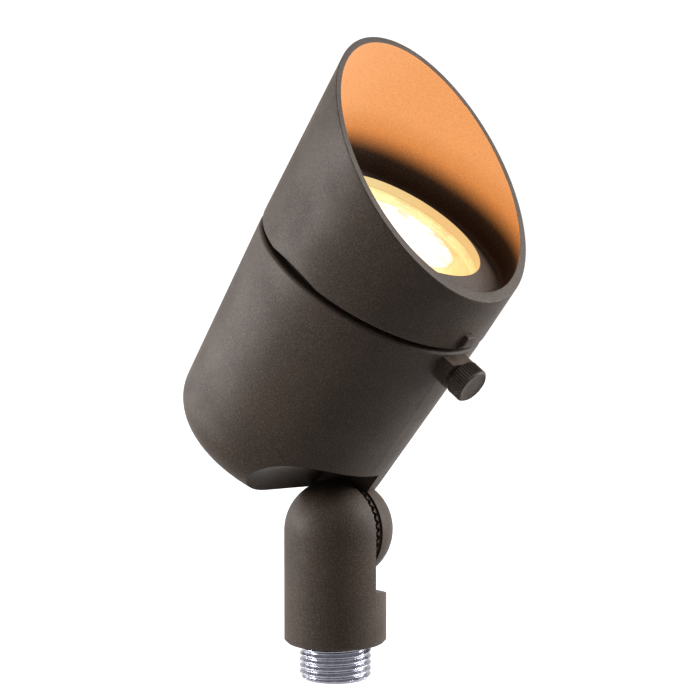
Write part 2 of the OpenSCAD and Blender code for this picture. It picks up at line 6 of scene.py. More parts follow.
import bpy
import numpy as np
from bpy.props import FloatProperty, FloatVectorProperty, IntProperty, PointerProperty
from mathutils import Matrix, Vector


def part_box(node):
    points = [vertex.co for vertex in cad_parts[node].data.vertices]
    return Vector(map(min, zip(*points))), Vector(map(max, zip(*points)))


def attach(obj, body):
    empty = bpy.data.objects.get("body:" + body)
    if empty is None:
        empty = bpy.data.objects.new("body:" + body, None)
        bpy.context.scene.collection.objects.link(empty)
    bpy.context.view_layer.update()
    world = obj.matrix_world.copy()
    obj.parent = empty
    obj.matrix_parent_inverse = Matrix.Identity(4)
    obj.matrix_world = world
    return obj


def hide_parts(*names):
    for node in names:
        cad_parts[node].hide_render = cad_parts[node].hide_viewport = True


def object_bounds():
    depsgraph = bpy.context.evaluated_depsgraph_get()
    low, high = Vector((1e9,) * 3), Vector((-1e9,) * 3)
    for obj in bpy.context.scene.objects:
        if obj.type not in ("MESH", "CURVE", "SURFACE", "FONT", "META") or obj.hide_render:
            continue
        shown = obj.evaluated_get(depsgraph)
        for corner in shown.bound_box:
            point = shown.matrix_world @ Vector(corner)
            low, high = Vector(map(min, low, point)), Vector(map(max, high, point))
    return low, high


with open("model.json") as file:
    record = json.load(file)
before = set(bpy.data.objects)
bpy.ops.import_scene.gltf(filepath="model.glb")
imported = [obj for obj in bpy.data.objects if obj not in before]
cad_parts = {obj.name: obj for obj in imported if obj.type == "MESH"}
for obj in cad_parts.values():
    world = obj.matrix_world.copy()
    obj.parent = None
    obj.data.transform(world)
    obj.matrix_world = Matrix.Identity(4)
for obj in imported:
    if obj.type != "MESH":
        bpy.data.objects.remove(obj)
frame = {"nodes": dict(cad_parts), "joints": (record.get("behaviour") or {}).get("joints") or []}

bl_info = {
    "name": "Outdoor spotlight looks",
    "version": (1, 0, 0),
    "blender": (4, 5, 0),
    "location": "View3D > Sidebar > Spotlight",
    "description": "Dresses the outdoor spotlight and sets up its studio",
    "category": "Object",
}

MM = 0.001
BLACK = (0, 0, 0)
UP = np.array([0, 0, 1])
CAD_BOX = [list(corner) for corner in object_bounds()]
JOINTS = {joint["name"]: joint for joint in frame["joints"]}
PIVOT = np.array(JOINTS["head_tilt"]["pos_m"])
PIN = np.array(JOINTS["head_tilt"]["axis"], float)
ALONG = np.array(JOINTS["shroud_pull"]["axis"], float)
UNDER = np.array(JOINTS["thumbscrew_travel"]["axis"], float)
ON_AXIS = np.array(JOINTS["shroud_turn"]["pos_m"])
FOOT = ON_AXIS - ALONG * float((ON_AXIS - PIVOT) @ ALONG)
LEAN = math.atan2(ALONG[0], ALONG[2])

# The shroud's hidden lower part: radii from the head's axis, lengths along it, and walls
COLLAR_RADIUS, COLLAR_LENGTH, COLLAR_WALL = 32.45 * MM, 11.6 * MM, 2.9 * MM
POCKET_RADIUS, POCKET_DEPTH, POCKET_WALL = 27.9 * MM, 6.1 * MM, 1.8 * MM
GROOVE_RADIUS, GROOVE_LOW, GROOVE_HIGH = 30.55 * MM, 1.4 * MM, 3.8 * MM
LENS_LIP = 1.0 * MM
OPENING_EDGE = 0.3 * MM
LOWER_EDGE = 0.5 * MM

# The studio's lamps stand at one distance in metres from the point at which they aim. Each has
# its bearing from the camera's side and its rise in degrees, its width and height in metres,
# and the studio's power that it draws on with its share of it
LAMP_DISTANCE = 1.1
AIM = (0.01, 0, 0.08)
LAMPS = (
    ("Left lamp", -85, 8, (0.35, 0.42), "left_light", 1.0),
    ("Left back lamp", -120, 8, (0.35, 0.42), "left_light", 0.22),
    ("Left front lamp", -60, 25, (0.35, 0.7), "left_light", 0.08),
    ("Right lamp", 88, 38, (0.35, 0.7), "right_light", 1.0),
    ("Right back lamp", 104, 8, (0.35, 0.42), "right_light", 0.65),
    ("Front lamp", 0, 45, (0.5, 0.7), "front_light", 1.0),
)


# Surfaces worked out as whole arrays

def on_head(x, y, s):
    """Row-frame points: the foot of the head's axis plus x out under the lean, y along the pin
    and s along the axis."""
    return FOOT + x[..., None] * UNDER + y[..., None] * PIN + s[..., None] * ALONG


def on_screw(x, y, s):
    """The same for the thumbscrew: s runs outwards along its axis and x along the head's, from
    the point of the head's axis at the height of the screw's middle."""
    low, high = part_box("thumbscrew_shank")
    middle = (np.array(low) + np.array(high)) / 2
    foot = ON_AXIS + ALONG * float((middle - ON_AXIS) @ ALONG)
    return foot + x[..., None] * ALONG + y[..., None] * PIN + s[..., None] * UNDER


def on_row(x, y, s):
    """Row-frame points with no turn: x, y and s are the row's own X, Y and Z."""
    return np.stack([x, y, s], -1)


def solid(name, points, faces, body, node=None, sharp=35):
    """A closed mesh, turned right side out by the sum of a dot (b cross c) over its triangles."""
    a, b, c = (points[faces[:, k]] for k in (0, 1, 2))
    fans = [(a, b, c)]
    if faces.shape[1] == 4:
        fans.append((a, c, points[faces[:, 3]]))
    volume = sum(float(np.einsum("ij,ij->i", p, np.cross(q, r)).sum()) for p, q, r in fans)
    if volume < 0:
        faces = faces[:, ::-1]
    mesh = bpy.data.meshes.new(name)
    mesh.from_pydata(points.tolist(), [], [list(dict.fromkeys(face)) for face in faces.tolist()])
    mesh.shade_smooth()
    mesh.set_sharp_from_angle(angle=math.radians(sharp))
    piece = bpy.data.objects.new(name, mesh)
    bpy.context.scene.collection.objects.link(piece)
    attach(piece, body)
    if node:
        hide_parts(node)
    return piece


def around(steps):
    """The angles of evenly spaced steps of a full turn, as a column."""
    return np.linspace(0, 2 * np.pi, steps, endpoint=False)[:, None]


def turned(name, radius, height, place, body, node=None, sharp=35):
    """A turned solid: point (i, j) is radius[i, j] from the axis at angle i and at height[i, j].

    The profile j is closed. Where it runs along the axis its points share one pole."""
    steps, count = radius.shape
    angle = around(steps)
    points = place(radius * np.cos(angle), radius * np.sin(angle), height)
    index = np.arange(steps * count).reshape(steps, count)
    for j in np.flatnonzero(np.abs(radius).max(0) == 0):
        index[:, j] = j
    turn = np.roll(index, -1, 0)
    corners = [index, turn, np.roll(turn, -1, 1), np.roll(index, -1, 1)]
    faces = np.stack(corners, -1).reshape(-1, 4)
    distinct = np.array([len(set(face)) for face in faces.tolist()])
    used, inverse = np.unique(faces[distinct > 2], return_inverse=True)
    return solid(name, points.reshape(-1, 3)[used], inverse.reshape(-1, 4), body, node, sharp)


def line(a, b, steps):
    """Profile points from a towards b, evenly spaced, without b itself."""
    t = np.linspace(0, 1, steps, endpoint=False)[:, None]
    return np.array(a) * (1 - t) + np.array(b) * t


def chain(*stops):
    """Profile points along straight lines from stop to stop, without the last stop itself.

    A stop is its radius, its height and, but for the last, the number of steps to the next."""
    return np.vstack([line(a[:2], b[:2], a[2]) for a, b in zip(stops, stops[1:])])


def arc(centre, radius, start, end, steps):
    """Profile points on an arc, from the angle start to the angle end in degrees.

    A point is the centre plus the radius times the angle's cosine and sine."""
    angle = np.radians(np.linspace(start, end, steps))
    return np.array(centre) + radius * np.stack([np.cos(angle), np.sin(angle)], -1)


def even(profile, steps):
    """The same profile at every angle: radius and height as arrays of steps rows."""
    profile = np.array(profile, float)
    return np.tile(profile[:, 0], (steps, 1)), np.tile(profile[:, 1], (steps, 1))


def thread(angle, height, pitch):
    """How deep a thread is, from 0 at the crest to 1 at the root.

    The phase is height over pitch less angle over a full turn. The depth is a triangle wave of
    the phase with both ends cut flat."""
    phase = np.mod(height / pitch - angle / (2 * np.pi), 1)
    return np.clip(np.abs(2 * phase - 1) * 1.3 - 0.15, 0, 1)


# Shader node groups and materials

def shader_group(name, inputs, outputs):
    """A new node group with named sockets, and its input and output nodes."""
    group = bpy.data.node_groups.new(name, "ShaderNodeTree")
    for socket, kind, value in inputs:
        made = group.interface.new_socket(socket, in_out="INPUT", socket_type="NodeSocket" + kind)
        if value is not None:
            made.default_value = value
    for socket, kind in outputs:
        group.interface.new_socket(socket, in_out="OUTPUT", socket_type="NodeSocket" + kind)
    return group, group.nodes.new("NodeGroupInput"), group.nodes.new("NodeGroupOutput")


def put(tree, value, socket):
    """Links a socket to the input, or sets a number or a colour without its alpha on it."""
    if isinstance(value, bpy.types.NodeSocket):
        tree.links.new(value, socket)
    elif value is not None:
        socket.default_value = value if np.isscalar(value) else (*value[:3], 1)


def feed(tree, node, **values):
    """Puts values on the node's inputs of those names, in which _ stands for a space."""
    for name, value in values.items():
        put(tree, value, node.inputs[name.replace("_", " ")])


def math_node(tree, operation, first, second=None):
    """A Math node of one or two sockets or numbers."""
    node = tree.nodes.new("ShaderNodeMath")
    node.operation = operation
    put(tree, first, node.inputs[0])
    put(tree, second, node.inputs[1])
    return node.outputs[0]


def spread(tree, value, low, high, to_low=0.0, to_high=1.0):
    """A Map Range node that takes low..high to to_low..to_high smoothly."""
    node = tree.nodes.new("ShaderNodeMapRange")
    node.interpolation_type = "SMOOTHSTEP"
    feed(tree, node, Value=value, From_Min=low, From_Max=high, To_Min=to_low, To_Max=to_high)
    return node.outputs["Result"]


def mixed(tree, factor, first, second):
    """A Mix node that goes from the first colour to the second as the factor goes from 0 to 1."""
    node = tree.nodes.new("ShaderNodeMix")
    node.data_type = "RGBA"
    for k, value in ((0, factor), (6, first), (7, second)):
        put(tree, value, node.inputs[k])
    return node.outputs[2]


def noise(tree, vector, size, detail=2.0, rough=0.5):
    """A Noise Texture whose blobs are about size metres across."""
    node = tree.nodes.new("ShaderNodeTexNoise")
    feed(tree, node, Vector=vector, Scale=1 / size, Detail=detail, Roughness=rough)
    return node.outputs["Fac"]


def grain_group():
    """Powder coat: peel height from two noises, painted shade in its low parts, pale tops, broad
    changes of tone and sheen.
    """
    group, start, end = shader_group(
        "Powder grain",
        [("Vector", "Vector", None), ("Coat", "Color", None), ("Fleck", "Color", None),
         ("Fleck amount", "Float", 0.5), ("Sheen", "Float", 0.5)],
        [("Color", "Color"), ("Roughness", "Float"), ("Height", "Float")],
    )
    peel_size, fine_size, tone_size = 0.45 * MM, 0.22 * MM, 14 * MM
    peel_share, fine_share, glint_depth = 0.65, 0.35, 0.12
    vector = start.outputs["Vector"]
    peel = noise(group, vector, peel_size, detail=2.5, rough=0.6)
    fine = noise(group, vector, fine_size, detail=1.0)
    tone = noise(group, vector, tone_size, detail=3.0, rough=0.55)
    height = math_node(
        group, "ADD", math_node(group, "MULTIPLY", peel, peel_share),
        math_node(group, "MULTIPLY", fine, fine_share))
    faded = spread(group, tone, 0.3, 0.7, to_high=0.22)
    # Painted shade: the coat darkens towards black in the low parts of the peel
    painted_pit_shade = spread(group, height, 0.36, 0.54, to_low=0.4, to_high=0.0)
    shaded = mixed(group, painted_pit_shade, mixed(group, faded, start.outputs["Coat"], BLACK), BLACK)
    tops = spread(group, height, 0.50, 0.66)
    peaks = math_node(group, "MULTIPLY", tops, start.outputs["Fleck amount"])
    uneven = spread(group, tone, 0.3, 0.7, to_low=-0.03, to_high=0.05)
    rough = math_node(group, "ADD", start.outputs["Sheen"], uneven)
    glint = math_node(group, "MULTIPLY", peaks, glint_depth)
    feed(group, end, Color=mixed(group, peaks, shaded, start.outputs["Fleck"]),
         Roughness=math_node(group, "SUBTRACT", rough, glint), Height=height)


def head_group():
    """Where a point of the head is, in the head's own axes.

    Its place is turned back by the lean. Its radius is the root of x squared plus y squared, and
    its height along the head's axis is z."""
    group, start, end = shader_group(
        "Head place", [("Vector", "Vector", None)],
        [("Radius", "Float"), ("Along", "Float"), ("Local", "Vector")])
    turn = group.nodes.new("ShaderNodeMapping")
    turn.vector_type = "POINT"
    turn.inputs["Rotation"].default_value = (0, -LEAN, 0)
    foot = np.array([FOOT @ UNDER, FOOT @ PIN, FOOT @ ALONG])
    turn.inputs["Location"].default_value = tuple(-foot)
    feed(group, turn, Vector=start.outputs["Vector"])
    split = group.nodes.new("ShaderNodeSeparateXYZ")
    feed(group, split, Vector=turn.outputs["Vector"])
    squared = math_node(
        group, "ADD",
        math_node(group, "MULTIPLY", split.outputs["X"], split.outputs["X"]),
        math_node(group, "MULTIPLY", split.outputs["Y"], split.outputs["Y"]),
    )
    feed(group, end, Radius=math_node(group, "SQRT", squared), Along=split.outputs["Z"],
         Local=turn.outputs["Vector"])


def band_group():
    """Glow round the lamp: yellower on the near upper side, more orange on the far lower side.

    The side is told by the sum of x and y in the head's axes, moved to and fro by a noise."""
    group, start, end = shader_group(
        "Lamp band",
        [("Local", "Vector", None), ("Yellow", "Color", None), ("Orange", "Color", None)],
        [("Color", "Color")])
    split = group.nodes.new("ShaderNodeSeparateXYZ")
    feed(group, split, Vector=start.outputs["Local"])
    across = math_node(group, "ADD", split.outputs["X"], split.outputs["Y"])
    patches = noise(group, start.outputs["Local"], 6 * MM)
    across = math_node(group, "ADD", across, spread(group, patches, 0.3, 0.7, -5 * MM, 5 * MM))
    side = spread(group, across, -24 * MM, 26 * MM)
    feed(group, end, Color=mixed(group, side, start.outputs["Yellow"], start.outputs["Orange"]))


def material(name, roughness=0.5, metallic=0.0):
    """A new material with a Principled shader: (material, tree, shader, Object coordinates)."""
    made = bpy.data.materials.new(name)
    made.use_nodes = True
    tree = made.node_tree
    shader = tree.nodes["Principled BSDF"]
    feed(tree, shader, Roughness=roughness, Metallic=metallic)
    place = tree.nodes.new("ShaderNodeTexCoord")
    return made, tree, shader, place.outputs["Object"]


def placed(tree, name, **values):
    """One of the shared groups, put into a material with its own values."""
    node = tree.nodes.new("ShaderNodeGroup")
    node.node_tree = bpy.data.node_groups[name]
    feed(tree, node, **values)
    return node


def lamp_band(tree, place, glow):
    """The colour of the glow round the lamp, at a place that the head's group gives."""
    band = placed(
        tree, "Lamp band", Local=place.outputs["Local"], Yellow=glow.yellow, Orange=glow.orange)
    return band.outputs["Color"]


def bump(tree, shader, height, depth):
    """A Bump node from a height of the given depth in metres to the shader's Normal."""
    node = tree.nodes.new("ShaderNodeBump")
    feed(tree, node, Strength=1.0, Distance=depth, Height=height)
    feed(tree, shader, Normal=node.outputs["Normal"])


def coat_material(name, finish, colour, glow=None):
    """Powder coat on Object coordinates. glow(tree, vector, height) may give an Emission Color."""
    made, tree, shader, vector = material(name)
    grain = placed(
        tree, "Powder grain", Vector=vector, Coat=colour, Fleck=finish.fleck,
        Fleck_amount=finish.fleck_amount, Sheen=finish.roughness)
    height = grain.outputs["Height"]
    feed(tree, shader, Base_Color=grain.outputs["Color"], Roughness=grain.outputs["Roughness"],
         Specular_IOR_Level=finish.specular)
    bump(tree, shader, height, finish.grain_depth)
    if glow:
        feed(tree, shader, Emission_Color=glow(tree, vector, height), Emission_Strength=1.0)
    return made


def metal_material(name, colour, roughness, blotch=0.08):
    """Bare metal with soft blotches of tone, whose roughness strays by blotch to each side."""
    made, tree, shader, vector = material(name, roughness, metallic=1.0)
    patches = noise(tree, vector, 2.5 * MM, detail=4.0, rough=0.6)
    dark = tuple(0.85 * c for c in colour)
    feed(tree, shader, Base_Color=mixed(tree, spread(tree, patches, 0.35, 0.65), dark, colour),
         Roughness=spread(tree, patches, 0.3, 0.7, roughness - blotch, roughness + blotch))
    bump(tree, shader, noise(tree, vector, 0.3 * MM), 0.01 * MM)
    return made


def plain_material(name, colour, roughness):
    """Rubber, ceramic or insulation: an even colour with a faint mottle and a fine bump."""
    made, tree, shader, vector = material(name, roughness)
    grain_size, grain_depth = 0.4 * MM, 0.02 * MM
    mottle = noise(tree, vector, 6 * grain_size, detail=3.0)
    dark = tuple(0.86 * c for c in colour)
    feed(tree, shader, Base_Color=mixed(tree, spread(tree, mottle, 0.3, 0.7), dark, colour))
    bump(tree, shader, noise(tree, vector, grain_size), grain_depth)
    return made


def seen_as_background(tree):
    """One for rays from the camera, from a reflection or through glass, and none for the rest."""
    rays = tree.nodes.new("ShaderNodeLightPath")
    indirect = math_node(
        tree, "MAXIMUM", rays.outputs["Is Glossy Ray"], rays.outputs["Is Transmission Ray"])
    return math_node(tree, "MAXIMUM", rays.outputs["Is Camera Ray"], indirect)


def reach(node, axis):
    """Lowest and highest distance of a CAD node from the foot of the head's axis, along axis."""
    mesh = frame["nodes"][node].data
    points = np.zeros(len(mesh.vertices) * 3)
    mesh.vertices.foreach_get("co", points)
    away = (points.reshape(-1, 3) - FOOT) @ axis
    return float(away.min()), float(away.max())


def dress(made, *nodes):
    """Gives the material to CAD nodes that stay as they are."""
    for node in nodes:
        piece = frame["nodes"][node]
        piece.data.materials.clear()
        piece.data.materials.append(made)


# Sizes and colours that a user would change

class SpotlightFinish(bpy.types.PropertyGroup):
    """Powder coat and bare metal."""

    coat: FloatVectorProperty(
        name="Coat", description="Colour of the bronze powder coat", subtype="COLOR", size=3, min=0,
        max=1, default=(0.0385, 0.0258, 0.0182))
    fleck: FloatVectorProperty(
        name="Fleck", description="Colour of the coat's raised grains", subtype="COLOR", size=3,
        min=0, max=1, default=(0.11, 0.095, 0.085))
    fleck_amount: FloatProperty(
        name="Fleck amount", description="How strongly the raised grains show", subtype="FACTOR",
        min=0, max=1, default=0.32)
    roughness: FloatProperty(
        name="Roughness", description="Roughness of the coat", subtype="FACTOR", min=0, max=1,
        default=0.55)
    specular: FloatProperty(
        name="Specular", description="Strength of the coat's reflections", subtype="FACTOR", min=0,
        max=1, default=0.12)
    grain_depth: FloatProperty(
        name="Grain depth", description="Height of the coat's orange peel", unit="LENGTH", min=0,
        max=0.5 * MM, precision=5, default=0.045 * MM)
    zinc: FloatVectorProperty(
        name="Zinc", description="Colour of the plated thread", subtype="COLOR", size=3, min=0,
        max=1, default=(0.30, 0.30, 0.34))
    steel: FloatVectorProperty(
        name="Steel", description="Colour of the screws and washers", subtype="COLOR", size=3,
        min=0, max=1, default=(0.50, 0.49, 0.48))


class SpotlightShroud(bpy.types.PropertyGroup):
    """The slip-on glare shroud, in heights along the head's axis from the swivel pin."""

    bottom: FloatProperty(
        name="Lower edge", description="Height of the lower edge", unit="LENGTH", precision=5,
        default=70.5 * MM)
    bottom_radius: FloatProperty(
        name="Lower radius", description="Outside radius at the lower edge", unit="LENGTH",
        precision=5, default=35.95 * MM)
    draft: FloatProperty(
        name="Draft", description="Growth of the outside radius for each unit of height",
        precision=4, default=0.028)
    rim: FloatProperty(
        name="Rim", description="Height where the rim's plane crosses the axis", unit="LENGTH",
        precision=5, default=105.7 * MM)
    slant: FloatProperty(
        name="Slant", description="Slant of the rim's plane", unit="ROTATION",
        default=math.radians(27.1))
    wall: FloatProperty(
        name="Wall", description="Wall where the rim crosses the axis", unit="LENGTH", precision=5,
        default=2.2 * MM)
    taper: FloatProperty(
        name="Taper", description="Thinning of the wall for each unit of height", precision=4,
        default=0.033)
    edge: FloatProperty(
        name="Rim rounding", description="Radius of the rim's two edges", unit="LENGTH",
        precision=5, default=0.22 * MM)
    floor: FloatProperty(
        name="Floor", description="Height of the floor's outer edge", unit="LENGTH", precision=5,
        default=84.3 * MM)
    rise: FloatProperty(
        name="Floor rise", description="Rise of the floor to the lamp opening", unit="LENGTH",
        precision=5, default=3 * MM)
    opening: FloatProperty(
        name="Opening", description="Radius of the lamp opening", unit="LENGTH", precision=5,
        default=24.4 * MM)
    fillet: FloatProperty(
        name="Floor fillet", description="Radius of the fillet between floor and wall",
        unit="LENGTH", precision=5, default=1.3 * MM)
    notch_angle: FloatProperty(
        name="Notch angle",
        description="Direction of the notch in the lower edge, from the underside of the lean",
        unit="ROTATION", default=math.radians(-93))
    notch_width: FloatProperty(
        name="Notch width", description="Width of the notch", unit="LENGTH", precision=5,
        default=19.5 * MM)
    notch_depth: FloatProperty(
        name="Notch depth", description="Depth of the notch", unit="LENGTH", precision=5,
        default=1.0 * MM)
    tab_width: FloatProperty(
        name="Tab width", description="Width of the index tab", unit="LENGTH", precision=5,
        default=4.1 * MM)
    tab_height: FloatProperty(
        name="Tab height", description="Height of the index tab", unit="LENGTH", precision=5,
        default=4.9 * MM)
    tab_proud: FloatProperty(
        name="Tab stand-off", description="Stand-off of the index tab", unit="LENGTH", precision=5,
        default=1.5 * MM)


class SpotlightScrews(bpy.types.PropertyGroup):
    """Threads and knurl."""

    pipe_pitch: FloatProperty(
        name="Pipe pitch", description="Pitch of the half-inch pipe thread", unit="LENGTH",
        precision=5, min=MM, default=1.814 * MM)
    pipe_depth: FloatProperty(
        name="Pipe depth", description="Depth of the pipe thread", unit="LENGTH", precision=5,
        default=1.0 * MM)
    fine_pitch: FloatProperty(
        name="Screw pitch", description="Pitch of the thumbscrew", unit="LENGTH", precision=5,
        min=0.3 * MM, default=0.8 * MM)
    fine_depth: FloatProperty(
        name="Screw depth", description="Depth of the thumbscrew's thread", unit="LENGTH",
        precision=5, default=0.42 * MM)
    knurls: IntProperty(
        name="Knurls", description="Number of grooves round the knob", min=12, default=44)
    knurl_depth: FloatProperty(
        name="Knurl depth", description="Depth of the grooves", unit="LENGTH", precision=5,
        default=0.3 * MM)


class SpotlightGlow(bpy.types.PropertyGroup):
    """The lit lamp."""

    hot: FloatVectorProperty(
        name="Hot", description="Colour of the lamp's centre", subtype="COLOR", size=3, min=0,
        max=4, default=(1.0, 1.0, 0.96))
    warm: FloatVectorProperty(
        name="Warm", description="Colour of the warm patches in the lamp's centre", subtype="COLOR",
        size=3, min=0, max=4, default=(0.80, 0.60, 0.38))
    line: FloatVectorProperty(
        name="Line", description="Colour of the thin line round the lamp's centre", subtype="COLOR",
        size=3, min=0, max=4, default=(0.72, 0.42, 0.20))
    yellow: FloatVectorProperty(
        name="Band, near",
        description="Colour of the band round the centre, on the near upper side", subtype="COLOR",
        size=3, min=0, max=4, default=(0.86, 0.66, 0.30))
    orange: FloatVectorProperty(
        name="Band, far", description="Colour of the band round the centre, on the far lower side",
        subtype="COLOR", size=3, min=0, max=4, default=(0.86, 0.54, 0.21))
    # Painted lamp light on the shroud's inner wall: its colours, and the heights at which its
    # painted shade turns to full light
    wall_low: FloatVectorProperty(
        name="Wall, low", description="Glow on the shroud's inner wall, near its dark foot",
        subtype="COLOR", size=3, min=0, max=4, default=(0.72, 0.24, 0.055))
    wall_high: FloatVectorProperty(
        name="Wall, high", description="Glow on the shroud's inner wall, near the rim",
        subtype="COLOR", size=3, min=0, max=4, default=(0.93, 0.375, 0.125))
    dark_height: FloatProperty(
        name="Dark height", description="Height of the unlit foot of the wall", unit="LENGTH",
        precision=5, default=6.1 * MM)
    lit_height: FloatProperty(
        name="Lit height", description="Height where the wall is fully lit", unit="LENGTH",
        precision=5, default=14.1 * MM)
    hot_radius: FloatProperty(
        name="Hot radius", description="Radius of the lamp's centre", unit="LENGTH", precision=5,
        default=17.5 * MM)


class SpotlightStudio(bpy.types.PropertyGroup):
    """Camera, lights and floor."""

    azimuth: FloatProperty(
        name="Azimuth", description="Bearing of the camera", unit="ROTATION",
        default=math.radians(37.864))
    elevation: FloatProperty(
        name="Elevation", description="Height of the camera above the horizon", unit="ROTATION",
        default=math.radians(3.408))
    place: FloatVectorProperty(
        name="Place", description="Where the camera stands", subtype="XYZ", unit="LENGTH", size=3,
        precision=5, default=(0.32503, -0.41105, 0.11669))
    lens: FloatProperty(
        name="Lens", description="Focal length in millimetres, on a 36 mm sensor", default=92.785)
    left_light: FloatProperty(
        name="Left light", description="Power of the left lamp", unit="POWER", default=21.0)
    right_light: FloatProperty(
        name="Right light", description="Power of the right lamp", unit="POWER", default=21.0)
    front_light: FloatProperty(
        name="Front light", description="Power of the front lamp", unit="POWER", default=0.8)
    ambient: FloatProperty(name="Ambient", description="Strength of the world", default=0.01)
    white: FloatProperty(
        name="White", description="Brightness of floor, backdrop and air when seen", default=0.97)


# Pieces

class SPOTLIGHT_OT_groups(bpy.types.Operator):
    """Builds the shader node groups that the materials share"""

    bl_idname = "spotlight.groups"
    bl_label = "Shared shader groups"

    def execute(self, context):
        grain_group()
        head_group()
        band_group()
        return {"FINISHED"}


class SPOTLIGHT_OT_castings(bpy.types.Operator):
    """Coats the stem and the cup, and finishes the screws, washers, seals and ceramics"""

    bl_idname = "spotlight.castings"
    bl_label = "Castings and hardware"

    def execute(self, context):
        finish = context.scene.spotlight_finish
        coat = coat_material("Bronze coat", finish, finish.coat)
        steel = metal_material("Stainless steel", finish.steel, roughness=0.32)
        rubber = plain_material("Black rubber", (0.018, 0.018, 0.019), roughness=0.62)
        ceramic = plain_material("Glazed ceramic", (0.78, 0.75, 0.68), roughness=0.3)
        insulation = plain_material("Lead insulation", (0.62, 0.58, 0.5), roughness=0.45)
        dress(coat, "stem", "housing")
        dress(steel, "pivot_screw", "spring_washer", "holder_bracket", "bracket_screws",
              "lamp_pins", "lens_retaining_ring")
        dress(rubber, "knuckle_seal", "lead_grommet", "shroud_o_ring")
        dress(ceramic, "lamp_base", "lamp_holder")
        dress(insulation, "socket_leads")
        return {"FINISHED"}


def shroud_outside(size, s):
    """Outside radius at height s: that at the lower edge plus the draft times the way up."""
    return size.bottom_radius + size.draft * (s - size.bottom)


def shroud_inside(size, s):
    """Inside radius at height s: the outside radius less the wall, which thins by the taper."""
    return shroud_outside(size, s) - size.wall + size.taper * (s - size.rim)


def fillet_foot(size):
    """Radius at which the fillet inside the wall meets the floor."""
    return shroud_inside(size, size.floor + size.fillet) - size.fillet


def lens_seat(size):
    """Height of the lens's seat: that of the rising floor at the pocket's radius, less the lip."""
    foot = fillet_foot(size)
    return size.floor + size.rise * (foot - POCKET_RADIUS) / (foot - size.opening) - LENS_LIP


